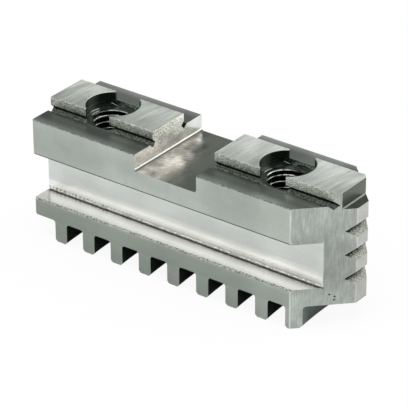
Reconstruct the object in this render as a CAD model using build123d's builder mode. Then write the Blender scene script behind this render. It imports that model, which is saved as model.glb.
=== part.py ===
from build123d import *
import os
from math import radians, sqrt, tan

# Base jaw of a two-piece scroll chuck jaw, for a chuck about 250 mm across. All sizes in mm.
# X runs along the jaw towards the V nose, Y across it, Z up.
# The origin is at the middle of the jaw's length and width, on the plane of the tooth tips.

# Lengths along the jaw, from the heel end to the nose tip
heel_length = 32.7          # heel end to the cross slot
slot_width = 19.03          # cross slot that takes the top jaw's key
lead_length = 28.0          # cross slot to the start of the nose flanks
nose_flat = 4.6             # width of the flat at the nose tip
nose_half_angle = 45.0      # of each flank to the jaw's length, degrees
tongue_setback = 2.7        # nose tip to the end of the tongue

# Widths across the jaw
jaw_width = 27.6            # over the ribs, the flange and the teeth
tongue_width = 12.68
groove_depth = 5.7          # of the guide groove in each side

# Heights, from the tooth tips up
tooth_height = 5.9
flange_height = 4.85
groove_height = 12.4
rib_height = 9.8            # the block above the grooves, up to the shoulders
tongue_height = 3.35        # tongue above the shoulders
slot_depth = 4.5            # cross slot below the shoulders
ledge_drop = 1.0            # ledge in front of the tongue, below the shoulders

# Teeth that mesh with the scroll
tooth_count = 9
tooth_pitch = 9.0
tooth_side_thickness = 3.75     # thickness where a tooth meets the jaw's side
first_tooth = 6.5               # heel end to the first tooth, at the jaw's side
tooth_heel_radius = 55.0        # convex face towards the heel
tooth_nose_radius = 140.0       # concave face towards the nose
tip_chamfer = 0.6
root_fillet = 0.8

# Clamping holes, counterbored and threaded M12
hole_spacing = 54.0
thread_diameter = 12.0          # the bore is at the thread's major diameter
thread_depth = 18.5             # threaded length below the counterbore
tap_drill_diameter = 10.2
drill_runout = 2.0              # drilled length below the thread
drill_point_angle = 118.0
counterbore_diameter = 14.0
counterbore_depth = 4.3
counterbore_opening = 7.6       # width where a counterbore breaks out of the tongue's sides
thread_chamfer = 0.4

# Serrations across the nose
notch_count = 3
notch_pitch = 6.55
notch_drop = 6.05               # ledge to the root of the first notch
notch_width = 3.5
notch_depth = 2.1

# Reliefs, corner radii and broken edges
foot_relief_leg = 1.17          # slanted undercut at each foot of the tongue, up its side and out
foot_relief_depth = 0.46        # how far its floor passes the corner, along and down
groove_relief_radius = 0.22     # undercut in the lower inner corners of the guide grooves
slot_corner_radius = 0.75
ledge_corner_radius = 0.4
edge_break = 0.2
flange_break = 0.45
heel_break = 0.5
rim_break = 0.2

# Levels
root_z = tooth_height
flange_z = root_z + flange_height
rib_z = flange_z + groove_height
shoulder_z = rib_z + rib_height
top_z = shoulder_z + tongue_height
slot_z = shoulder_z - slot_depth
ledge_z = shoulder_z - ledge_drop

# Stations along X
nose_length = (jaw_width - nose_flat) / 2 / tan(radians(nose_half_angle))
jaw_length = heel_length + slot_width + lead_length + nose_length
heel_x = -jaw_length / 2
slot_x = heel_x + heel_length + slot_width / 2
nose_x = jaw_length / 2
flank_x = nose_x - nose_length
tongue_end_x = nose_x - tongue_setback

# Half widths
side_y = jaw_width / 2
tongue_y = tongue_width / 2
neck_y = side_y - groove_depth

# Levels in a clamping hole
counterbore_z = top_z - counterbore_depth
thread_end_z = counterbore_z - thread_depth
drill_end_z = thread_end_z - drill_runout
drill_point_height = tap_drill_diameter / 2 / tan(radians(drill_point_angle / 2))

snap = 0.01     # tolerance when edges are picked by their level


def bulge(radius):
    """How far an arc of this radius stands out at the middle of the jaw's width."""
    return radius - sqrt(radius**2 - side_y**2)


with BuildPart() as base_jaw:
    # The bar's cross-section: flange, neck, rib and tongue
    with BuildSketch(Plane.YZ.offset(heel_x)):
        with BuildLine():
            Polyline(
                (0, top_z),
                (tongue_y - edge_break, top_z),
                (tongue_y, top_z - edge_break),
                (tongue_y, shoulder_z + foot_relief_leg),
                (
                    tongue_y - foot_relief_depth - foot_relief_leg / 2,
                    shoulder_z - foot_relief_depth + foot_relief_leg / 2,
                ),
                (
                    tongue_y - foot_relief_depth + foot_relief_leg / 2,
                    shoulder_z - foot_relief_depth - foot_relief_leg / 2,
                ),
                (tongue_y + foot_relief_leg, shoulder_z),
                (side_y - edge_break, shoulder_z),
                (side_y, shoulder_z - edge_break),
                (side_y, rib_z + edge_break),
                (side_y - edge_break, rib_z),
                (neck_y, rib_z),
                (neck_y, flange_z),
                (side_y - flange_break, flange_z),
                (side_y, flange_z - flange_break),
                (side_y, root_z),
                (0, root_z),
                close=True,
            )
        make_face()
        mirror(about=Plane.YZ)
        with Locations((neck_y, flange_z), (-neck_y, flange_z)):
            Circle(groove_relief_radius, mode=Mode.SUBTRACT)
    extrude(amount=jaw_length)

    # Teeth, each between two arcs about centres on the nose side
    with BuildSketch(Plane.XY):
        for tooth in range(tooth_count):
            heel_face_x = heel_x + first_tooth + tooth * tooth_pitch
            nose_face_x = heel_face_x + tooth_side_thickness
            with BuildLine():
                ThreePointArc(
                    (heel_face_x, -side_y),
                    (heel_face_x - bulge(tooth_heel_radius), 0),
                    (heel_face_x, side_y),
                )
                Line((heel_face_x, side_y), (nose_face_x, side_y))
                ThreePointArc(
                    (nose_face_x, side_y),
                    (nose_face_x - bulge(tooth_nose_radius), 0),
                    (nose_face_x, -side_y),
                )
                Line((nose_face_x, -side_y), (heel_face_x, -side_y))
            make_face()
    extrude(amount=root_z)
    arcs = base_jaw.edges().filter_by(GeomType.CIRCLE)
    fillet(arcs.filter_by_position(Axis.Z, root_z - snap, root_z + snap), root_fillet)
    arcs = base_jaw.edges().filter_by(GeomType.CIRCLE)
    chamfer(arcs.filter_by_position(Axis.Z, -snap, snap), tip_chamfer)

    # Plan: the V nose, and the heel's corners
    with BuildSketch(Plane.XY):
        with BuildLine():
            Polyline(
                (heel_x, 0),
                (heel_x, side_y - edge_break),
                (heel_x + edge_break, side_y),
                (flank_x, side_y),
                (nose_x, nose_flat / 2),
                (nose_x, 0),
                close=True,
            )
        make_face()
        mirror(about=Plane.XZ)
    extrude(amount=top_z, mode=Mode.INTERSECT)

    # Heel end broken along the foot of the flange and the foot of each rib
    for corner_z, start_y, width in (
        (root_z, side_y, jaw_width),
        (rib_z, side_y, groove_depth),
        (rib_z, -neck_y, groove_depth),
    ):
        with BuildSketch(Plane.XZ.offset(-start_y)):
            with BuildLine():
                Polyline(
                    (heel_x, corner_z),
                    (heel_x + heel_break, corner_z),
                    (heel_x, corner_z + heel_break),
                    close=True,
                )
            make_face()
        extrude(amount=width, mode=Mode.SUBTRACT)

    # Cross slot through both ribs and the tongue
    with BuildSketch(Plane.XZ.offset(-side_y)) as slot_outline:
        with Locations((slot_x, slot_z)):
            Rectangle(slot_width, top_z - slot_z, align=(Align.CENTER, Align.MIN))
        fillet(slot_outline.vertices().group_by(Axis.Y)[0], slot_corner_radius)
    extrude(amount=jaw_width, mode=Mode.SUBTRACT)

    # Ledge in front of the tongue
    with BuildSketch(Plane.XZ.offset(-side_y)) as ledge_outline:
        with Locations((tongue_end_x, ledge_z)):
            Rectangle(tongue_setback, top_z - ledge_z, align=(Align.MIN, Align.MIN))
        fillet(ledge_outline.vertices().group_by(Axis.Y)[0].sort_by(Axis.X)[0], ledge_corner_radius)
    extrude(amount=jaw_width, mode=Mode.SUBTRACT)

    # V notches across the nose
    with BuildSketch(Plane.XZ.offset(-side_y)):
        for notch in range(notch_count):
            notch_z = ledge_z - notch_drop - notch * notch_pitch
            with BuildLine():
                Polyline(
                    (nose_x - notch_depth, notch_z),
                    (nose_x, notch_z + notch_width / 2),
                    (nose_x, notch_z - notch_width / 2),
                    close=True,
                )
            make_face()
    extrude(amount=jaw_width, mode=Mode.SUBTRACT)

    # Where the counterbores break out of the tongue's sides, its thin edges are trimmed square
    hole_stations = (slot_x - hole_spacing / 2, slot_x + hole_spacing / 2)
    with BuildSketch(Plane.XY.offset(top_z)):
        with Locations(*[(hole_x, 0) for hole_x in hole_stations]):
            Rectangle(counterbore_opening, tongue_width)
    extrude(amount=-tongue_height, mode=Mode.SUBTRACT)

    # Clamping holes: counterbore, thread at its major diameter, drilled end
    for hole_x in hole_stations:
        with BuildSketch(Plane.XZ):
            with BuildLine():
                Polyline(
                    (hole_x, top_z),
                    (hole_x + counterbore_diameter / 2 + rim_break, top_z),
                    (hole_x + counterbore_diameter / 2, top_z - rim_break),
                    (hole_x + counterbore_diameter / 2, counterbore_z),
                    (hole_x + thread_diameter / 2 + thread_chamfer, counterbore_z),
                    (hole_x + thread_diameter / 2, counterbore_z - thread_chamfer),
                    (hole_x + thread_diameter / 2, thread_end_z),
                    (hole_x + tap_drill_diameter / 2, thread_end_z),
                    (hole_x + tap_drill_diameter / 2, drill_end_z),
                    (hole_x, drill_end_z - drill_point_height),
                    close=True,
                )
            make_face()
        revolve(axis=Axis((hole_x, 0, 0), (0, 0, 1)), mode=Mode.SUBTRACT)

base_jaw.part.label = "base_jaw"
os.makedirs("parts", exist_ok=True)
export_step(base_jaw.part, "parts/base_jaw.step")
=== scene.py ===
from functools import reduce
from math import cos, pi, radians, sin, tan
from operator import add, mul
from types import SimpleNamespace

import bmesh
import bpy
from mathutils import Euler, Matrix, Vector


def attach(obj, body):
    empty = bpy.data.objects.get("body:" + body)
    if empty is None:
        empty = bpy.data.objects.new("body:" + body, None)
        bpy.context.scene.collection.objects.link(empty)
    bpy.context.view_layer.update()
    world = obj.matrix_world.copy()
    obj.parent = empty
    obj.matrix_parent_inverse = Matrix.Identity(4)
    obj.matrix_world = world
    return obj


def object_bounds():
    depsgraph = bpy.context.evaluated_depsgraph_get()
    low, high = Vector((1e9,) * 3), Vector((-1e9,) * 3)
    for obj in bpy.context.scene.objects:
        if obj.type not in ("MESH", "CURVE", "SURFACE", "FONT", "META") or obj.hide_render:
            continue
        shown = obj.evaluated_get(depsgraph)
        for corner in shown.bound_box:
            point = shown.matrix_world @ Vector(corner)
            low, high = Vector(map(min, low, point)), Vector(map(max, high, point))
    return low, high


print("reading the frame")
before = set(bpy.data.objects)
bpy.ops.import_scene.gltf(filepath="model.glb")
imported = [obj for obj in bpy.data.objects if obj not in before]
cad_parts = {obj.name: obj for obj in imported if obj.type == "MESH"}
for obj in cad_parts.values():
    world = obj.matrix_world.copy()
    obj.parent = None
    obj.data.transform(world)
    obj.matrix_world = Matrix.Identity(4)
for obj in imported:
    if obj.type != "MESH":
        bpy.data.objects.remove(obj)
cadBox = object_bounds()
scene = bpy.context.scene
mm = 0.001


class Wire:  # one output of a node, so that sums on it add Math nodes
    def __init__(self, sheet, socket):
        self.sheet = sheet
        self.socket = socket

    def other(self, name):  # another output of the same node
        return Wire(self.sheet, self.socket.node.outputs[name])

    def maths(self, operation, *values):
        return self.sheet.add("ShaderNodeMath", {"operation": operation}, dict(enumerate(values)))

    def __add__(self, other):
        return self.maths("ADD", self, other)

    def __radd__(self, other):
        return self.maths("ADD", other, self)

    def __sub__(self, other):
        return self.maths("SUBTRACT", self, other)

    def __rsub__(self, other):
        return self.maths("SUBTRACT", other, self)

    def __mul__(self, other):
        return self.maths("MULTIPLY", self, other)

    def __rmul__(self, other):
        return self.maths("MULTIPLY", other, self)

    def __truediv__(self, other):
        return self.maths("DIVIDE", self, other)

    def __abs__(self):
        return self.maths("ABSOLUTE", self)


class Sheet:  # the node tree of a material or of the world, started empty
    def __init__(self, owner):
        owner.use_nodes = True
        self.tree = owner.node_tree
        self.tree.nodes.clear()
        self.limits = {}        # those made so far, to be used again

    def add(self, kind, settings=None, inputs=None, output=0):
        node = self.tree.nodes.new(kind)
        for name, value in (settings or {}).items():
            setattr(node, name, value)
        for name, value in (inputs or {}).items():
            if isinstance(value, Wire):
                self.tree.links.new(value.socket, node.inputs[name])
            else:
                node.inputs[name].default_value = value
        return Wire(self, node.outputs[output]) if node.outputs else None

    def ramp(self, value, low, high):  # 0 up to low, 1 from high on, smooth between them
        return self.add(
            "ShaderNodeMapRange",
            {"interpolation_type": "SMOOTHSTEP"},
            {"Value": value, "From Min": low, "From Max": high},
        )

    def fall(self, value, low, high):  # 1 up to low, 0 from high on
        return 1 - self.ramp(value, low, high)

    def near(self, value, middle, reach, soft):  # 1 within reach of the middle
        return self.fall(abs(value - middle), reach, reach + soft)

    def limit(self, spot, name, *shape):  # a coordinate of the spot, or a shape over it and its numbers
        key = (name, *shape)
        if key not in self.limits:
            value = getattr(spot, name)
            if shape:
                shapes = {"ramp": self.ramp, "fall": self.fall, "near": self.near}
                value = shapes[shape[0]](value, *shape[1:])
            self.limits[key] = value
        return self.limits[key]

    def within(self, spot, limits):  # 1 within all of the limits
        return reduce(mul, [self.limit(spot, *limit) for limit in limits])

    def total(self, spot, shares):  # the sum of shares that each count within their own limits, or everywhere
        parts = [share * self.within(spot, limits) if limits else share for share, *limits in shares]
        return reduce(add, parts)

    def root(self, value):
        return self.add("ShaderNodeMath", {"operation": "SQRT"}, {0: value})

    def most(self, first, second):
        return self.add("ShaderNodeMath", {"operation": "MAXIMUM"}, {0: first, 1: second})

    def scale(self, vector, factors):
        return self.add("ShaderNodeVectorMath", {"operation": "MULTIPLY"}, {0: vector, 1: factors})

    def noise(self, where, sizes, detail=2.0, shift=0.0):  # sizes of its spots along X, Y and Z, in mm
        spread = self.scale(where, tuple(1 / size for size in sizes))
        moved = self.add("ShaderNodeVectorMath", {"operation": "ADD"}, {0: spread, 1: (shift, shift, shift)})
        return self.add("ShaderNodeTexNoise", {}, {"Vector": moved, "Scale": 1.0, "Detail": detail})

    def mixColour(self, share, first, second):
        return self.add("ShaderNodeMix", {"data_type": "RGBA"}, {0: share, 6: first, 7: second}, 2)

    def tint(self, colour, factor):  # a colour made lighter or darker
        grey = self.add("ShaderNodeCombineColor", {}, {"Red": factor, "Green": factor, "Blue": factor})
        return self.add(
            "ShaderNodeMix", {"data_type": "RGBA", "blend_type": "MULTIPLY"}, {0: 1.0, 6: colour, 7: grey}, 2
        )


def newMaterial(name):
    return bpy.data.materials.new(name)


def rgba(tone):
    return (tone[0], tone[1], tone[2], 1.0)


# the jaw's own levels, stations and radii, in mm
jaw = {
    "flangeZ": 10.75,           # top of the flange, which is the floor of the guide grooves
    "ribZ": 23.15,              # underside of the ribs
    "slotZ": 28.45,
    "ledgeZ": 31.95,
    "counterboreZ": 32.0,
    "shoulderZ": 32.95,
    "tongueZ": 36.3,
    "slotX": -3.4,              # middle of the cross slot
    "flankX": 34.115,           # where the nose's flanks start
    "tongueEndX": 42.915,
    "neckY": 8.1,               # floors of the guide grooves
    "noseFlatY": 2.3,           # half the flat at the nose tip
    "holeX": (-30.4, 23.6),
    "counterboreRadius": 7.0,
}


def readSpot(sheet):  # where a point of the surface is, in mm, and which way it faces
    coords = sheet.add("ShaderNodeTexCoord", output="Object")
    where = sheet.scale(coords, (1000, 1000, 1000))
    x = sheet.add("ShaderNodeSeparateXYZ", {}, {0: where}, "X")
    nx = sheet.add("ShaderNodeSeparateXYZ", {}, {0: coords.other("Normal")}, "X")
    spot = SimpleNamespace(where=where, x=x, y=x.other("Y"), z=x.other("Z"))
    spot.nx, spot.ny, spot.nz = nx, nx.other("Y"), nx.other("Z")
    heelX, noseX = jaw["holeX"]
    dx = x - heelX - (noseX - heelX) * x.maths("GREATER_THAN", x, jaw["slotX"])
    spot.reach = sheet.root(dx * dx + spot.y * spot.y)     # from the axis of the nearer hole
    spot.heelward = (dx * -0.8) - spot.y * 0.6             # from that axis towards the heel and the near side
    return spot


# limits that several rows use: a coordinate of the spot, a shape over it, and the shape's numbers in mm
sideways, upward, downward, lengthways = ("sideways",), ("upward",), ("downward",), ("lengthways",)
halfUp, halfDown, tilted = ("halfUp",), ("halfDown",), ("tilted",)
outer = ("outY", "ramp", 13.0, 13.4)
inHole = ("reach", "fall", 7.02, 7.06)
onRim = ("reach", "near", jaw["counterboreRadius"], 0.06, 0.03)
onRingEdge = ("z", "near", 32.08, 0.14, 0.04)
flangeLevel = ("z", "near", jaw["flangeZ"], 0.2, 0.2)
heelHole, noseHole = ("x", "fall", 0, 1), ("x", "ramp", 0, 1)
glintSide = ("heelward", "near", 4.7, 0.6, 0.6)
glinting = ("glints", "ramp", 0.44, 0.60)
notAlong = ("outNx", "fall", 0.3, 0.4)
toothFace, toothHeight = ("outNx", "ramp", 0.7, 0.8), ("z", "fall", 5.9, 6.2)
lastTooth, otherTeeth = ("x", "ramp", 35.0, 35.5), ("x", "fall", 35.0, 35.5)

# tones of the painted glints in the counterbores
ringTone, glintTone = (0.36, 0.38, 0.36), (0.95, 0.95, 0.92)


def surface(tone, rough, *limits):
    return {"tone": tone, "rough": rough, "limits": limits}


# each surface's own colour and roughness, as the machine that cut it left it, and where it is: a later one
# covers an earlier one. Some rows are painted shade or painted highlights instead, as their notes say
surfaces = {
    "rib": surface((0.44, 0.48, 0.44), 0.34, sideways, outer, ("z", "ramp", 20, 22)),
    "neck": surface(
        (0.68, 0.71, 0.68), 0.22, sideways,
        ("outY", "near", jaw["neckY"], 0.3, 0.2), ("z", "near", 17, 6.6, 0.1),
    ),
    "flangeSide": surface((0.33, 0.37, 0.33), 0.34, sideways, outer, ("z", "fall", 11, 12)),
    "flangeTop": surface((0.475, 0.464, 0.446), 0.26, upward, flangeLevel),
    "flangeHeel": surface(      # a pale dull patch at its heel end: the dullness is its own, the paleness painted light
        (0.84, 0.84, 0.80), 0.8, upward, flangeLevel, ("heelSlant", "fall", -45.9, -45.1),
    ),
    "shoulder": surface((0.565, 0.62, 0.57), 0.32, upward, ("z", "near", jaw["shoulderZ"], 0.15, 0.1)),
    "slotFloor": surface((0.345, 0.385, 0.33), 0.27, upward, ("z", "near", jaw["slotZ"], 0.3, 0.2)),
    "tongueTop": surface((0.708, 0.755, 0.695), 0.48, upward, ("z", "ramp", 36.0, 36.2)),
    "tongueSide": surface(
        (0.38, 0.40, 0.355), 0.45, sideways, ("z", "ramp", 33.5, 33.8), ("outY", "fall", 6.6, 6.8),
    ),
    "relief": surface(          # painted shade, dark: the slanted undercut at the foot of the tongue
        (0.09, 0.10, 0.085), 0.5, halfUp, ("z", "near", 33, 1.3, 0.1), ("outY", "fall", 7.6, 7.7),
    ),
    "openFoot": surface(        # the same painted shade, lighter where a counterbore opens the tongue's far side
        (0.20, 0.265, 0.215), 0.45, halfUp, ("z", "near", 32.4, 0.5, 0.1),
        ("y", "ramp", 6.3, 6.5), ("reach", "fall", 7.3, 8.5),
    ),
    "slotWall": surface(
        (0.68, 0.685, 0.655), 0.36, lengthways,
        ("x", "near", jaw["slotX"], 9.7, 0.1), ("z", "ramp", 28.8, 28.9),
    ),
    "flank": surface((0.42, 0.45, 0.42), 0.38, ("nx", "ramp", 0.6, 0.68), ("outNy", "ramp", 0.6, 0.68)),
    "end": surface((0.53, 0.54, 0.51), 0.36, lengthways, ("outX", "ramp", 45.3, 45.4)),
    "tongueEnd": surface(
        (0.127, 0.144, 0.121), 0.3, lengthways,
        ("x", "near", jaw["tongueEndX"], 0.1, 0.1), ("z", "ramp", 32.2, 32.3),
    ),
    "ledge": surface(
        (0.113, 0.12, 0.102), 0.3, upward, ("z", "near", jaw["ledgeZ"], 0.1, 0.1), ("x", "ramp", 42.5, 42.8),
    ),
    "notch": surface(
        (0.20, 0.205, 0.18), 0.42, tilted, ("x", "ramp", 43.2, 43.4), ("z", "near", 19, 9.5, 0.3),
    ),
    # painted shade: the faces in the gaps between the teeth near black, and the last tooth's face a lighter
    # copy
    "gap": surface((0.042, 0.06, 0.048), 0.5, toothFace, toothHeight, otherTeeth),
    "lastFace": surface((0.185, 0.211, 0.189), 0.442, toothFace, toothHeight, lastTooth),
    "under": surface((0.35, 0.37, 0.345), 0.4, downward),
    "overhang": surface(        # painted shade, black: the slant above that undercut
        (0.015, 0.018, 0.015), 0.6, halfDown, ("z", "near", 33.6, 0.7, 0.1),
    ),
    # painted shade, near black, in the small undercut at the neck's foot
    "undercut": surface((0.04, 0.04, 0.034), 0.7, ("corner", "fall", 0.225, 0.245), notAlong),
    "cove": surface(            # the neck's foot, just above the undercut
        (0.345, 0.35, 0.315), 0.45, ("corner", "fall", 0.45, 0.6), notAlong,
        ("z", "ramp", 10.66, 10.76), ("outY", "fall", 8.12, 8.2),
    ),
    # painted shade: the counterbores' walls and floors, dark
    "hole": surface(
        (0.098, 0.130, 0.106), 0.3, inHole, ("z", "ramp", 8.0, 8.2), ("z", "fall", 36.05, 36.15),
    ),
    "ring": surface(            # the counterbore's floor
        (0.13, 0.165, 0.145), 0.35, upward, ("z", "near", jaw["counterboreZ"], 0.05, 0.05), inHole,
    ),
    # painted glints along the counterbores' rims, countersinks and floors
    "heelRingEdge": surface(ringTone, 0.3, onRim, onRingEdge, glinting, heelHole),
    "noseRingEdge": surface(
        ringTone, 0.3, onRim, onRingEdge, glinting, noseHole, ("heelward", "fall", 2.8, 3.4),
    ),
    "ringGlint": surface(glintTone, 0.55, onRim, onRingEdge, heelHole, glintSide),
    "sinkGlint": surface(       # on the thread's countersink
        glintTone, 0.55, ("reach", "near", 6.22, 0.12, 0.05), ("z", "near", 31.82, 0.15, 0.04),
        heelHole, glintSide,
    ),
    "floorGlint": surface(
        glintTone, 0.55, ("reach", "near", 6.58, 0.16, 0.05),
        ("z", "near", jaw["counterboreZ"], 0.03, 0.02), noseHole, glintSide,
    ),
    "burrGlint": surface(            # a painted highlight along the wire edge where a counterbore breaks out of the shoulder
        (1.0, 1.0, 0.98), 0.7, ("reach", "near", jaw["counterboreRadius"], 0.05, 0.03),
        ("breakout", "near", 38.35, 0.1, 0.04), ("z", "near", 32.7, 0.4, 0.1),
    ),
    "rim": surface(
        (0.42, 0.44, 0.41), 0.5, ("reach", "near", 7.1, 0.12, 0.03), ("z", "near", 36.2, 0.14, 0.03),
        ("nz", "near", 0.707, 0.2, 0.1),
    ),
    "lip": surface(             # the trimmed edge of the tongue beside a counterbore
        (0.12, 0.13, 0.12), 0.4, lengthways, ("reach", "near", 7.2, 0.3, 0.05), ("z", "ramp", 32.9, 33.0),
    ),

    # broken edges, and the small radii in the corners of the slot and the ledge
    # painted shade: a dark line along the rib's foot
    "ribFoot": surface(
        (0.06, 0.065, 0.06), 0.5, halfDown, ("z", "near", jaw["ribZ"] + 0.1, 0.16, 0.04), outer,
    ),
    "ribCrown": surface(
        (0.20, 0.215, 0.20), 0.45, halfUp, ("z", "near", jaw["shoulderZ"] - 0.1, 0.16, 0.04), outer,
    ),
    "tongueCrown": surface(
        (0.30, 0.315, 0.285), 0.5, halfUp, ("z", "near", jaw["tongueZ"] - 0.1, 0.16, 0.04),
    ),
    "flangeCrown": surface((0.31, 0.33, 0.31), 0.4, halfUp, ("z", "near", jaw["flangeZ"] - 0.22, 0.3, 0.05)),
    # painted highlight along the radius at the foot of the slot's wall
    "slotFoot": surface(
        (0.60, 0.585, 0.54), 0.3, ("outNx", "near", 0.8, 0.3, 0.1), ("z", "near", 28.98, 0.16, 0.03),
        ("nz", "ramp", 0.05, 0.15),
    ),
    # painted highlight along the radius at the foot of the ledge
    "ledgeFoot": surface(
        (0.24, 0.26, 0.24), 0.4, ("x", "near", 43.12, 0.22, 0.03), ("z", "near", 32.15, 0.22, 0.03),
        ("nx", "ramp", 0.1, 0.2),
    ),
    # painted shade: a dark line along the lower edge of that radius at the slot's heel-side wall
    "slotLine": surface(
        (0.12, 0.12, 0.11), 0.4, ("x", "near", -12.62, 0.16, 0.06), ("z", "near", 28.58, 0.14, 0.04),
    ),
}


def readFacing(sheet, spot):  # the other coordinates that the limits name
    square, slanted, heelSlope = (0.93, 0.98), (0.707, 0.12, 0.1), 0.754
    spot.outX, spot.outY = abs(spot.x), abs(spot.y)
    spot.outNx, spot.outNy = abs(spot.nx), abs(spot.ny)
    outNz = abs(spot.nz)
    spot.sideways = sheet.ramp(spot.outNy, *square)
    spot.upward = sheet.ramp(spot.nz, *square)
    spot.lengthways = sheet.ramp(spot.outNx, *square)
    spot.downward = sheet.ramp(0 - spot.nz, 0.5, 0.7)
    slantedY = sheet.near(spot.outNy, *slanted)
    spot.halfUp = sheet.near(spot.nz, *slanted) * slantedY
    spot.halfDown = sheet.near(0 - spot.nz, *slanted) * slantedY
    spot.tilted = sheet.ramp(outNz, 0.3, 0.4) * sheet.fall(outNz, 0.9, 0.95)
    aside, above = spot.outY - jaw["neckY"], spot.z - jaw["flangeZ"]
    spot.corner = sheet.root(aside * aside + above * above)     # from the inner corner of the guide groove
    spot.heelSlant = spot.x - aside * heelSlope                 # from a slanted line over the flange's heel
    spot.breakout = spot.z + spot.y                             # across the wire edge of a counterbore


# fine patterns: the size of their spots along X, Y and Z in mm, their detail, a shift that makes each one
# its own, and what is taken off so that it swings about 0
patterns = {
    "clouds": ((14.4, 9.0, 9.0), 2, 0.0, 0.5),
    "grit": ((0.3, 0.3, 0.3), 1, 0.0, 0.5),
    "uprightLines": ((0.27, 0.27, 3.2), 2, 3.0, 0.5),       # of the grinding wheel
    "longLines": ((12.0, 0.27, 0.27), 2, 5.0, 0.5),
    "patches": ((1.7, 1.7, 2.6), 2, 13.0, 0.5),
    "chatter": ((0.495, 0.33, 0.33), 1, 11.0, 0.0),
    "wander": ((2.0, 2.0, 2.0), 2, 37.0, 0.0),
    "scatter": ((0.5, 0.4, 0.3), 1, 39.0, 0.0),
    "coveSpecks": ((0.7, 0.5, 0.5), 1, 61.0, 0.0),
    "boreMarks": ((2.0, 2.0, 9.0), 2, 41.0, 0.0),
    "glints": ((1.5, 1.5, 9.0), 2, 43.0, 0.0),
    "notchLines": ((0.24, 8.0, 0.24), 1, 47.0, 0.5),
    "film": ((2.6, 2.8, 1.6), 3, 17.0, 0.0),
    "rubs": ((2.6, 3.2, 1.8), 2, 23.0, 0.0),
    "wallSpecks": ((0.5, 0.42, 0.34), 1, 29.0, 0.0),
}

# marks of grinding, milling and handling: sizes in mm, depths as shares of the tone
marks = {
    "cloudDepth": 0.45, "gritDepth": 0.35,
    "millTilt": 0.123, "millRadius": 70.0,          # the arcs that the cutter left across the tongue
    "millFine": (0.3, 7.0, 7.0), "millCoarse": (1.5, 14.0, 14.0), "coarseShare": 0.7,
    "speckCut": (0.44, 0.57),                       # how much of the chatter shows as specks
    "dotPace": 5.0, "dotWander": 5.0,               # dots along the neck: radians to a mm, and their drift
    "dotCut": (0.1, 0.7), "dotPatches": (0.40, 0.56), "dotLeast": 0.3,
    "edgeRadius": 0.22, "edgeTurn": (0.005, 0.06), "edgeWearAndHighlight": 0.12,    # edges rubbed bright, and painted highlights along them
    "edgeFrom": (10.9, 11.2),                       # only above the flange
    # painted highlights along the corners and the counterbores' wire edges
    "cornerHighlight": 0.35, "burrHighlight": 2.0,
    "footLift": 0.6,                                # how far the feet of the neck and the slot's wall turn up
    "standHeight": 0.004, "roughShare": 0.35,       # how far the marks stand up, and how much duller they are
    "patchStand": 0.15,                             # what the patches add to that
    "pits": ((41.01, -6.91, 8.76), (41.9, -6.01, 8.12), (41.81, -6.1, 7.24)),
    "pitRadius": 0.32, "pitDepth": 0.9,
}


def readPatterns(sheet, spot):
    for name, (sizes, detail, shift, middle) in patterns.items():
        pattern = sheet.noise(spot.where, sizes, detail, shift)
        setattr(spot, name, pattern - middle if middle else pattern)
    spot.specks = sheet.ramp(spot.chatter, *marks["speckCut"])
    phase = spot.x * marks["dotPace"] + spot.wander * marks["dotWander"]
    strength = marks["dotLeast"] + (1 - marks["dotLeast"]) * sheet.ramp(spot.wander, *marks["dotPatches"])
    spot.dots = sheet.ramp(phase.maths("SINE", phase), *marks["dotCut"]) * strength

    arcX = spot.x - marks["millTilt"] * spot.y - spot.y * spot.y / (2 * marks["millRadius"])
    arcs = sheet.add("ShaderNodeCombineXYZ", {}, {"X": arcX, "Y": spot.y, "Z": spot.z})
    coarse = marks["coarseShare"] * (sheet.noise(arcs, marks["millCoarse"], 2, 9.0) - 0.5)
    spot.millArcs = (sheet.noise(arcs, marks["millFine"], 2, 7.0) - 0.5) + coarse


# films, rubs and stains over the steel: how much of each covers it, its tone, and its limits
stains = [
    (1.0, (0.34, 0.335, 0.30), ("stainedFloor",)),
    (0.55, (0.40, 0.355, 0.315), ("stainedSlot",), ("film", "ramp", 0.45, 0.62)),
    (0.46, (0.92, 0.90, 0.85), ("stainedSlot",), ("slotRubs", "ramp", 0.42, 0.60)),
    (0.52, (0.89, 0.85, 0.81), ("stainedWall",), ("z", "ramp", 32.6, 34.2)),
    (0.5, (0.86, 0.88, 0.86), ("stainedWall",), ("z", "near", jaw["tongueZ"], 0.3, 0.3)),

    # rows of fine dark dots where the cutter chattered
    (
        0.75, (0.25, 0.215, 0.19), ("chatteredWall",),
        ("outY", "fall", 7.5, 9.0), ("wallSpecks", "ramp", 0.54, 0.61),
    ),

    # clean metal at the wall's far end, above a brown corner
    (0.85, (0.80, 0.83, 0.81), ("stainedWall",), ("y", "ramp", 6.5, 8.0), ("level", "ramp", 35.3, 36.2)),
    (0.5, (0.30, 0.29, 0.25), ("stainedWall",), ("y", "ramp", 6.5, 8.0), ("level", "fall", 35.3, 36.2)),

    # brown in the corners of the flange, the ledge and the notches
    (0.35, (0.18, 0.18, 0.14), ("brownCorners",), ("film", "ramp", 0.4, 0.6)),
]


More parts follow.
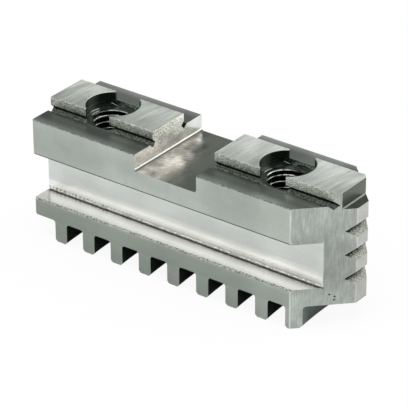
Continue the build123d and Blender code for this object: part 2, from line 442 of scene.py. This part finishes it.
def stainSteel(sheet, spot, faces, colour):
    ramp, fall, near = sheet.ramp, sheet.fall, sheet.near
    x, y, z = spot.x, spot.y, spot.z
    wall = faces["slotWall"] * fall(x, -10, -9)
    floor = faces["slotFloor"] * fall(x, -6.5, -2.5) * fall(x + 0.5 * y, -5.4, -4.2)
    spot.stainedWall, spot.stainedFloor, spot.stainedSlot = wall, floor, wall + floor
    spot.chatteredWall = wall * (0.35 + 0.65 * ramp(z, 30.5, 32.0))

    # both grains run level in the wall and across the floor
    spot.level = z + 0.5 * y
    sizes = (0.36, 2.2, 1.0)
    wallGrain = sheet.add("ShaderNodeCombineXYZ", {}, {"X": spot.level, "Y": y - 0.5 * z})
    floorGrain = sheet.add("ShaderNodeCombineXYZ", {}, {"X": y * 0.8 - x * 0.6, "Y": x * 0.8 + y * 0.6})
    grain = sheet.noise(wallGrain, sizes, 2, 53.0) * wall + sheet.noise(floorGrain, sizes, 2, 59.0) * floor
    spot.slotRubs = spot.rubs * 0.5 + grain * 0.5

    flange = faces["flangeTop"] * fall(spot.outY, 8.6, 10.2) * (1 + 0.9 * ramp(x, -10.0, 10.0))
    neck = 0.35 * faces["neck"] * near(z, 11.3, 0.4, 0.2)
    spot.brownCorners = flange + faces["ledge"] + faces["notch"] * 0.7 + neck
    for share, tone, *limits in stains:
        colour = sheet.mixColour(sheet.within(spot, limits) * share, colour, rgba(tone))
    return colour


# limits that several of the changes use
dotRow, midway = ("z", "near", 11.5, 0.2, 0.1), ("x", "ramp", -26.0, -8.0)
innerHalf, innerQuarter = ("outY", "fall", 9.2, 12.4), ("outY", "fall", 8.6, 10.0)
innerLine, noseward = ("outY", "fall", 8.4, 8.65), ("x", "ramp", -20.0, 0.0)
sideCorner = ("x", "near", jaw["flankX"], 0.14, 0.1)
frontCorner, noseOnly = ("outY", "near", jaw["noseFlatY"], 0.12, 0.1), ("x", "ramp", 40.0, 41.0)

# what is lighter or darker than its surface: each row multiplies that surface's tone by 1 plus its shares,
# and a share counts within the limits that follow it
changes = [
    # lines and patches of the grinding wheel
    ("flank", [(0.75, ("uprightLines",))]),
    ("flank", [(0.5, ("patches",))]),
    ("end", [(0.6, ("uprightLines",))]),
    ("end", [(0.3, ("patches",))]),
    ("rib", [(0.12, ("longLines",))]),
    ("rib", [(0.12, ("patches",))]),
    ("flangeSide", [(0.12, ("longLines",))]),
    ("flangeTop", [(0.15, ("longLines",))]),
    ("neck", [(0.12, ("longLines",))]),
    ("under", [(0.7, ("longLines",))]),

    # the flank is lighter low down and towards the side, and darker half way up
    ("flank", [
        (0.08, ("z", "fall", 8.0, 12.5)),
        (-0.14, ("z", "near", 17.5, 3.0, 6.0)),
        (-0.03, ("z", "near", 27.0, 2.0, 3.0)),
        (0.12, ("x", "fall", 34.8, 37.5), ("z", "fall", 8.0, 10.0)),
    ]),

    # the top of the tongue, across and along
    ("tongueTop", [(0.7, ("millArcs",))]),
    ("tongueTop", [(0.13,), (-0.33, ("y", "fall", -6.3, 5.0))]),
    ("tongueTop", [(0.12, ("x", "ramp", -14.0, 8.0)), (0.07, ("x", "near", 10.0, 3.0, 5.0))]),

    # the rib's own slow changes, and painted shade: a dark line along its foot
    ("rib", [(-0.1, ("x", "fall", -30.0, -18.0)), (-0.11, ("x", "near", 17.0, 3.0, 9.0))]),
    ("rib", [(0.06, ("x", "near", -3.0, 6.0, 8.0)), (0.03, ("z", "fall", 24.0, 25.4))]),
    ("rib", [(0.07,), (-0.07, ("z", "near", 28.8, 1.0, 3.6))]),
    ("rib", [(-0.95, ("z", "fall", 23.48, 23.54))]),
    ("flangeSide", [(0.14, ("z", "ramp", 9.3, 10.3)), (0.22, ("x", "ramp", 18.0, 28.0))]),
    ("flangeSide", [(0.09, ("z", "fall", 5.4, 6.0))]),
    # painted light: the last tooth's face lighter towards the near side
    ("lastFace", [(0.32, ("y", "fall", -10.5, -8.0))]),

    # specks where a cutter chattered or a wheel ran into a corner
    ("tongueSide", [
        (0.28,), (0.30, ("x", "ramp", 20.0, 28.0)), (0.12, ("z", "ramp", 35.3, 35.8)),
        (-0.30, ("z", "fall", 34.2, 35.2)), (-0.65, ("specks",)),
    ]),
    ("tongueCrown", [(0.5,), (-0.8, ("specks",))]),
    ("relief", [(0.3,), (-0.9, ("specks",))]),
    ("ribCrown", [(0.25,), (-0.7, ("specks",))]),
    ("flangeCrown", [(0.2,), (-0.8, ("specks",))]),
    ("cove", [(-0.55, ("coveSpecks", "ramp", 0.46, 0.54))]),

    # painted light makes the neck lighter towards its foot, where the flange's top lights it; a row of dots
    # runs along it
    ("neck", [
        (0.34, ("z", "fall", 12.8, 14.2)),
        (0.13, ("z", "fall", 11.8, 12.6)),
        (0.05, ("x", "ramp", 24.0, 30.0)),
        (0.02, ("z", "fall", 13.2, 15.6)),
        (0.11, ("z", "fall", 13.2, 15.6), ("x", "ramp", -26.0, -16.0)),
        (0.22, ("z", "near", 11.45, 0.4, 0.2), midway),
        (-1.0, ("dots",), dotRow),
        (0.5, ("dots",), dotRow, midway),
        (-0.45, ("scatter", "ramp", 0.55, 0.60), ("z", "near", 12.0, 0.5, 0.3), ("x", "ramp", 4.0, 18.0)),
    ]),

    # the flange's top darkens towards the neck
    ("flangeInner", [(-0.35, innerHalf), (-0.08, innerHalf, noseward)]),
    ("flangeInner", [(-0.26, innerQuarter)]),
    ("flangeInner", [(-0.52, innerLine), (0.3, innerLine, noseward)]),

    # painted shade: the foot of the tongue is black high in its relief, lighter low down and darker on the
    # far side, and the shoulder beside it is darker near the tongue and on the near side
    ("relief", [(-0.9, ("z", "ramp", 32.86, 32.96))]),
    ("relief", [(0.15, ("z", "fall", 32.05, 32.6))]),
    ("relief", [(-0.65, ("y", "ramp", 0, 1))]),
    ("shoulder", [(-0.44, ("outY", "near", 9.6, 0.9, 3.0)), (-0.28, ("y", "fall", -4, 9))]),
    # lighter and darker places along the shoulders
    ("shoulder", [
        (0.12, ("x", "ramp", 0, 8)),
        (0.6, ("x", "near", 27.0, 1.5, 4.0), ("y", "near", -11.0, 1.5, 3.0)),
        (0.08, ("y", "ramp", 10.0, 12.5)),
    ]),
    ("shoulder", [
        (-0.2, ("x", "near", -15.0, 1.5, 3.0)),
        (-0.15, ("x", "near", 18.0, 2.0, 3.0)),
        (-0.25, ("x", "near", 36.0, 2.0, 4.0)),
    ]),

    # lighter and darker places in the cross slot, and painted shade darkening its floor towards the nose
    ("slotFloor", [
        (0.32, ("x", "near", -6.4, 1.0, 2.4), ("y", "near", -3.5, 1.5, 4.5)),
        (0.16, ("x", "fall", -10.4, -9.4), ("y", "fall", 1.0, 4.0)),
        (0.13, ("x", "ramp", -4.0, -2.0), ("y", "ramp", -8.5, -5.0)),
        (-0.62, ("x", "near", -8.6, 1.3, 2.2), ("y", "near", 5.0, 1.2, 3.4)),
        (-0.3, ("x", "near", -3.8, 1.0, 1.8), ("y", "fall", -7.0, -3.5)),
        (-0.15, ("x", "fall", -10.0, -9.0), ("y", "ramp", 5.0, 8.0)),
        (-0.24, ("x", "ramp", -6.0, 2.0)),
    ]),
    ("slotWall", [
        (0.14, ("z", "ramp", 33.0, 35.0)),
        (0.32, ("z", "ramp", 34.5, 35.8), ("y", "ramp", 1.0, 5.0)),
        (0.16, ("z", "near", 32.2, 0.8, 1.0), ("y", "near", 0.6, 1.6, 2.0)),
        (-0.45, ("z", "fall", 29.9, 32.4), ("y", "near", -1.5, 6.0, 4.5)),
        (-0.15, ("y", "fall", -10.4, -9.4), ("z", "fall", 30.2, 31.2)),
        (-0.15, ("z", "near", 33.5, 1.0, 0.8), ("y", "near", -7.6, 1.2, 1.6)),
    ]),

    # a turned mark in the counterbores; painted light on their side towards the heel and low on the far side
    # of the heel hole; painted shade over the rest, most on the side away from the heel and towards their
    # foot
    ("holeWall", [
        (-0.2,),
        (2.6, ("z", "near", 33.75, 0.03, 0.05), ("boreMarks", "ramp", 0.40, 0.60)),
        (0.45, ("heelward", "ramp", 1.0, 6.5)),
        (-0.18, ("heelward", "fall", -0.8, 2.0)),
        (0.9, ("x", "near", -31.2, 2.0, 1.2), ("y", "ramp", 5.6, 6.4), ("z", "fall", 32.5, 32.9)),
        (-0.25, ("z", "near", 32.3, 0.2, 0.3)),
        (-0.12, ("z", "fall", 33.2, 33.6)),
    ]),
    # the painted highlight on the wire edge, brighter still
    ("burrGlint", [(marks["burrHighlight"],)]),

    # in each notch, lines across the nose, specks and a dark root
    ("notch", [
        (0.6,), (1.1, ("notchLines",)), (-0.7, ("specks",)),
        (-0.85, ("x", "fall", 43.5, 44.2)),
        (-0.65, ("x", "fall", 43.9, 45.2), ("y", "fall", 0.5, 4.0)),
    ]),

    # painted highlights along the corners
    ("rib", [(marks["cornerHighlight"], sideCorner)]),
    ("flangeSide", [(marks["cornerHighlight"], sideCorner)]),
    ("flank", [
        (marks["cornerHighlight"], sideCorner),
        (marks["cornerHighlight"], frontCorner, noseOnly),
        (marks["cornerHighlight"], ("outY", "near", jaw["neckY"], 0.12, 0.1), ("z", "near", 17.0, 6.2, 0.1)),
    ]),
    ("end", [(marks["cornerHighlight"], frontCorner, noseOnly)]),
]


def shadeSteel(sheet, spot, faces):  # how much lighter or darker each spot is than its surface
    shade = (1 + marks["cloudDepth"] * spot.clouds) * (1 + marks["gritDepth"] * spot.grit)
    masks = dict(faces)
    masks["flangeInner"] = faces["flangeTop"] - faces["flangeHeel"]
    masks["holeWall"] = faces["hole"] - faces["ring"]
    for name, shares in changes:
        shade = shade * (1 + masks[name] * sheet.total(spot, shares))

    # pits in the near flank
    radius = marks["pitRadius"]
    for pit in marks["pits"]:
        away = sheet.add("ShaderNodeVectorMath", {"operation": "DISTANCE"}, {0: spot.where, 1: pit}, "Value")
        shade = shade * (1 - marks["pitDepth"] * sheet.fall(away, radius * 0.6, radius))

    # edges rubbed bright, and painted highlights along them
    rounded = sheet.add("ShaderNodeBevel", {"samples": 6}, {"Radius": marks["edgeRadius"] * mm})
    facing = sheet.add("ShaderNodeNewGeometry", {}, {}, "Normal")
    turn = sheet.add("ShaderNodeVectorMath", {"operation": "DOT_PRODUCT"}, {0: rounded, 1: facing}, "Value")
    edge = sheet.ramp(1 - turn, *marks["edgeTurn"]) * sheet.ramp(spot.z, *marks["edgeFrom"])
    return shade * (1 + edge * (1 - faces["hole"]) * (1 - faces["rib"]) * marks["edgeWearAndHighlight"])


# how high marks stand on each surface, as a share of their strength, and which marks
heights = {
    "flank": (1.0, "uprightLines"), "end": (1.0, "uprightLines"),
    "rib": (0.6, "longLines"), "flangeSide": (0.6, "longLines"), "flangeTop": (0.6, "longLines"),
    "neck": (0.6, "longLines"), "under": (0.6, "longLines"),
    "tongueTop": (1.0, "millArcs"),
    "tongueSide": (-0.4, "specks"), "relief": (-0.4, "specks"),
    "notch": (2.0, "notchLines"),
}


def standMarks(spot, faces):  # how high the marks stand, about 0
    height = marks["patchStand"] * spot.patches
    for name, (share, pattern) in heights.items():
        height = height + share * getattr(spot, pattern) * faces[name]
    return height


def dressSteel(material):
    sheet = Sheet(material)
    spot = readSpot(sheet)
    readFacing(sheet, spot)
    readPatterns(sheet, spot)
    faces = {name: sheet.within(spot, row["limits"]) for name, row in surfaces.items()}
    colour = rgba(surfaces["rib"]["tone"])
    rough = surfaces["rib"]["rough"]
    for name, mask in faces.items():
        colour = sheet.mixColour(mask, colour, rgba(surfaces[name]["tone"]))
        rough = rough + (surfaces[name]["rough"] - rough) * mask
    colour = stainSteel(sheet, spot, faces, colour)
    shade = shadeSteel(sheet, spot, faces)
    height = standMarks(spot, faces)
    rough = rough * (1 + marks["roughShare"] * height)
    normal = sheet.add("ShaderNodeBump", {}, {"Distance": marks["standHeight"] * mm, "Height": height})
    upturned = (faces["cove"] + faces["slotFoot"]) * marks["footLift"]
    lift = sheet.add("ShaderNodeCombineXYZ", {}, {"Z": upturned})
    raised = sheet.add("ShaderNodeVectorMath", {"operation": "ADD"}, {0: normal, 1: lift})
    normal = sheet.add("ShaderNodeVectorMath", {"operation": "NORMALIZE"}, {0: raised})
    shader = sheet.add(
        "ShaderNodeBsdfPrincipled", {},
        {"Base Color": sheet.tint(colour, shade), "Metallic": 1.0, "Roughness": rough, "Normal": normal},
    )
    sheet.add("ShaderNodeOutputMaterial", {}, {"Surface": shader})


print("finishing the steel")
steel = newMaterial("groundSteel")
dressSteel(steel)
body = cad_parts["base_jaw"]
body.data.materials.clear()
body.data.materials.append(steel)


thread = {
    "pitch": 1.75,
    "majorRadius": 6.08, "minorRadius": 5.12,           # the major one sinks a little into the wall
    "rises": (0.81, 0.79, 0.3, 0.22, -0.22, -0.3, -0.79, -0.81),    # the ridge's points about its middle
    "crestHalf": 0.25, "flankRun": 1.72,                # half its flat, and a flank's run for 1 mm of height
    "starts": (33.08, 32.93), "bottom": 13.1,           # where the ridge's middle starts and ends
    "floorZ": 31.99, "lipRadius": 5.42,                 # the counterbore's floor cuts the first turn
    "sinkZ": 31.6,                                      # the ridge fills the countersink above this
    "steps": 72,                                        # to a turn
}

# black oil and painted shade between the crests, and painted highlights where the light catches them: tones
# of one grey, tinted a little
oilShadeAndGlints = {
    "tone": 0.015, "heelTone": 0.17,                    # all over, and painted light on the side towards the heel
    "crestTone": 0.18, "crestGlint": 0.52,
    "firstCrest": 0.4,                                  # a painted highlight on the first ridge of the hole near the nose
    "lipTone": 0.10, "lipGlint": 0.08,
    "entryTone": 0.8, "firstGroove": 0.1,
    "tint": {"Red": 0.95, "Green": 1.02, "Blue": 0.94},
    "rough": 0.2, "glintRough": 0.12, "entryRough": 0.5,
}


def ridgeReach(height, middle):  # how near the axis the ridge comes at a height
    away = max(abs(height - middle) - thread["crestHalf"], 0)
    crest = thread["minorRadius"] + away * thread["flankRun"]
    lip = thread["lipRadius"] - (thread["floorZ"] - height)
    return min(max(crest, lip), thread["majorRadius"])


def makeThread(name, holeX, start):
    count = int((start - thread["bottom"]) / thread["pitch"] * thread["steps"])
    mesh = bmesh.new()
    rows = []
    for step in range(count + 1):
        turn = step / thread["steps"]
        angle = -2 * pi * turn
        middle = start - turn * thread["pitch"]
        if middle + thread["rises"][-2] > thread["floorZ"]:
            continue
        row = []
        for rise in thread["rises"]:
            height = min(middle + rise, thread["floorZ"])
            if abs(rise) == thread["rises"][0]:
                radius = thread["majorRadius"] + max(height - thread["sinkZ"], 0)
            else:
                radius = ridgeReach(height, middle)
            x, y = holeX + radius * cos(angle), radius * sin(angle)
            row.append(mesh.verts.new((x * mm, y * mm, height * mm)))
        rows.append(row)
    sides = len(thread["rises"])
    for row, following in zip(rows, rows[1:]):
        for k in range(sides):
            mesh.faces.new((row[k], row[(k + 1) % sides], following[(k + 1) % sides], following[k]))
    mesh.faces.new(reversed(rows[0]))
    mesh.faces.new(rows[-1])
    bmesh.ops.remove_doubles(mesh, verts=mesh.verts, dist=0.002 * mm)
    bmesh.ops.recalc_face_normals(mesh, faces=mesh.faces)
    data = bpy.data.meshes.new(name)
    mesh.to_mesh(data)
    mesh.free()
    piece = bpy.data.objects.new(name, data)
    scene.collection.objects.link(piece)
    return piece


def dressThread(material):
    sheet = Sheet(material)
    spot = readSpot(sheet)
    ramp, fall, near = sheet.ramp, sheet.fall, sheet.near
    heelward, z = spot.heelward, spot.z
    glint = ramp(sheet.noise(spot.where, (1.5, 1.5, 0.8), 2, 31.0), 0.42, 0.60)
    normal = sheet.add("ShaderNodeBump", {}, {"Distance": marks["standHeight"] * mm, "Height": glint})

    # painted highlights on the crests, and painted shade deep in the hole
    crest = fall(spot.reach, 5.16, 5.36)
    lit = 0.4 + 0.6 * ramp(heelward, -2.5, -0.5)
    shallow = 0.35 + 0.65 * ramp(z, 26.5, 28.5)
    tone = oilShadeAndGlints["tone"] + oilShadeAndGlints["heelTone"] * ramp(heelward, 2.2, 4.6) * shallow
    tone = tone + crest * (oilShadeAndGlints["crestTone"] + oilShadeAndGlints["crestGlint"] * glint) * lit * shallow
    firstCrest = crest * near(heelward, 4.2, 0.7, 0.6) * ramp(z, 31.1, 31.4) * ramp(spot.x, 0, 1)
    tone = tone + oilShadeAndGlints["firstCrest"] * firstCrest

    # the lip that the counterbore's floor leaves, with a painted glint on it
    lip = near(z, thread["floorZ"], 0.02, 0.02) * ramp(spot.reach, 5.3, 5.45)
    worn = oilShadeAndGlints["lipTone"] + oilShadeAndGlints["lipGlint"] * near(heelward, 0.3, 1.2, 1.0) * ramp(spot.y, 3.0, 4.0)
    tone = tone + (worn - tone) * lip

    # a painted highlight at the entry of the hole near the heel
    entry = near(heelward, 4.6, 0.7, 0.5) * near(spot.reach, 5.98, 0.09, 0.05)
    entry = entry * near(z, 31.9, 0.12, 0.05) * ramp(spot.y, -2.0, -1.0) * fall(spot.x, 0, 1)
    tone = tone + entry * oilShadeAndGlints["entryTone"]
    # painted light in the first groove on the side towards the heel
    tone = tone + oilShadeAndGlints["firstGroove"] * ramp(heelward, 3.5, 5.0) * near(z, 31.2, 0.3, 0.25)

    tinted = {channel: tone * share for channel, share in oilShadeAndGlints["tint"].items()}
    colour = sheet.add("ShaderNodeCombineColor", {}, tinted)
    rough = oilShadeAndGlints["rough"] + oilShadeAndGlints["glintRough"] * glint + oilShadeAndGlints["entryRough"] * entry
    shader = sheet.add(
        "ShaderNodeBsdfPrincipled", {},
        {"Base Color": colour, "Metallic": 1.0, "Roughness": rough, "Normal": normal},
    )
    sheet.add("ShaderNodeOutputMaterial", {}, {"Surface": shader})


print("cutting the threads")
threadSteel = newMaterial("oiledThreadShadeAndGlints")
dressThread(threadSteel)
for name, holeX, start in zip(("heelThread", "noseThread"), jaw["holeX"], thread["starts"]):
    piece = makeThread(name, holeX, start)
    piece.data.materials.append(threadSteel)
    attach(piece, "root")


print("setting the studio")
studio = {
    "floorReach": 3.0,              # metres from the jaw to the floor's edge
    "floorWhite": 0.92,
    "floorGlow": 1.02,              # what the camera sees of it, where 1 is white
    "floorOpen": (0.005, 0.05),     # metres from the jaw: metal mirrors the floor as white beyond the second
    "floorShow": 0.9,               # how much of that glow covers its shadows
    "ambient": 0.60,                # what the room gives of itself
    "softbox": {"place": (0.10, -0.15, 1.1), "size": (0.8, 0.8), "glow": 1.6},
    "key": {"place": (-0.56, -0.75, 0.52), "size": (0.9, 0.5), "glow": 1.15},
    "back": {"place": (0.56, 0.75, 0.52), "size": (0.7, 0.4), "glow": 1.6},
    "drape": {
        "radius": 1.3, "low": 0.25, "high": 1.3, "panels": 24,
        "middle": 127, "spread": 50,            # degrees round from +X, and to each side
        "tone": 0.24,
    },
    "target": (0, 0, 0.02),     # what the lamps point at
}


def lightPathShare(sheet, glossyShare):  # 1 for what the camera sees, a share for what metal mirrors
    path = sheet.add("ShaderNodeLightPath", output="Is Camera Ray")
    mirrored = path.other("Is Glossy Ray") + path.other("Is Transmission Ray")
    return sheet.add("ShaderNodeClamp", {}, {"Value": path + mirrored * glossyShare})


def makeFloor():
    reach = studio["floorReach"]
    mesh = bpy.data.meshes.new("floor")
    corners = [(-reach, -reach, 0), (reach, -reach, 0), (reach, reach, 0), (-reach, reach, 0)]
    mesh.from_pydata(corners, [], [(0, 1, 2, 3)])
    floor = bpy.data.objects.new("floor", mesh)
    floor.location.z = -0.02 * mm           # clear of the tooth tips
    scene.collection.objects.link(floor)
    material = newMaterial("paleFloor")
    sheet = Sheet(material)
    coords = sheet.add("ShaderNodeTexCoord", output="Object")
    x = sheet.add("ShaderNodeSeparateXYZ", {}, {0: coords}, "X")
    y = x.other("Y")
    half = (cadBox[1] - cadBox[0]) / 2
    dx = sheet.most(abs(x) - half.x, 0.0)
    dy = sheet.most(abs(y) - half.y, 0.0)
    away = sheet.root(dx * dx + dy * dy)
    openness = sheet.ramp(away, *studio["floorOpen"])
    white = studio["floorWhite"]
    matt = sheet.add("ShaderNodeBsdfDiffuse", {}, {"Color": (white, white, white, 1)})
    glow = sheet.add("ShaderNodeEmission", {}, {"Color": (1, 1, 1, 1), "Strength": studio["floorGlow"]})
    share = lightPathShare(sheet, openness) * studio["floorShow"]
    mixed = sheet.add("ShaderNodeMixShader", {}, {0: share, 1: matt, 2: glow})
    sheet.add("ShaderNodeOutputMaterial", {}, {"Surface": mixed})
    mesh.materials.append(material)


def makeDrape():  # a dark cloth behind the set, which only metal mirrors
    look = studio["drape"]
    panels = look["panels"]
    mesh = bpy.data.meshes.new("drape")
    points, faces = [], []
    for step in range(panels + 1):
        angle = radians(look["middle"] + look["spread"] * (2 * step / panels - 1))
        for height in (look["low"], look["high"]):
            points.append((look["radius"] * cos(angle), look["radius"] * sin(angle), height))
    for step in range(panels):
        a, b = 2 * step, 2 * (step + 1)
        faces.append((a, b, b + 1, a + 1))
    mesh.from_pydata(points, [], faces)
    drape = bpy.data.objects.new("drape", mesh)
    scene.collection.objects.link(drape)
    material = newMaterial("darkDrape")
    sheet = Sheet(material)
    tone = look["tone"]
    glow = sheet.add("ShaderNodeEmission", {}, {"Color": (tone, tone, tone, 1), "Strength": 1.0})
    sheet.add("ShaderNodeOutputMaterial", {}, {"Surface": glow})
    mesh.materials.append(material)
    drape.visible_camera = False
    drape.visible_diffuse = False
    drape.visible_shadow = False


def makeWorld():
    world = bpy.data.worlds.new("room")
    scene.world = world
    sheet = Sheet(world)
    level = studio["ambient"]
    room = sheet.add("ShaderNodeBackground", {}, {"Color": (level, level, level, 1), "Strength": 1.0})
    white = sheet.add("ShaderNodeBackground", {}, {"Color": (1, 1, 1, 1), "Strength": 1.0})
    mixed = sheet.add("ShaderNodeMixShader", {}, {0: lightPathShare(sheet, 1.0), 1: room, 2: white})
    sheet.add("ShaderNodeOutputWorld", {}, {"Surface": mixed})


def aim(thing, target):
    thing.rotation_euler = (Vector(target) - thing.location).to_track_quat("-Z", "Y").to_euler()


def makeLamp(name):  # its glow is how bright it looks in a mirror
    look = studio[name]
    data = bpy.data.lights.new(name, "AREA")
    data.shape = "RECTANGLE"
    data.size, data.size_y = look["size"]
    data.energy = look["glow"] * pi * data.size * data.size_y
    lamp = bpy.data.objects.new(name, data)
    lamp.location = look["place"]
    aim(lamp, studio["target"])
    scene.collection.objects.link(lamp)


makeFloor()
makeDrape()
makeWorld()
for name in ("softbox", "key", "back"):
    makeLamp(name)

view = {
    "place": (0.361805, -0.482221, 0.345980),
    "azimuth": 37.0269,         # degrees from -Y towards +X
    "elevation": 28.5946,
    "roll": -0.3062,
    "spread": 8.4728,           # what it takes in across the picture, degrees
    "sensor": 36.0,
}


def makeCamera():
    data = bpy.data.cameras.new("camera")
    data.sensor_width = view["sensor"]
    data.lens = view["sensor"] / 2 / tan(radians(view["spread"]) / 2)
    data.clip_start = 0.01
    camera = bpy.data.objects.new("camera", data)
    camera.location = view["place"]
    aimed = Euler((radians(90 - view["elevation"]), 0, radians(view["azimuth"]))).to_matrix()
    camera.rotation_euler = (aimed @ Matrix.Rotation(radians(view["roll"]), 3, "Z")).to_euler()
    scene.collection.objects.link(camera)
    scene.camera = camera


makeCamera()
scene.view_settings.view_transform = "Standard"

print("done")
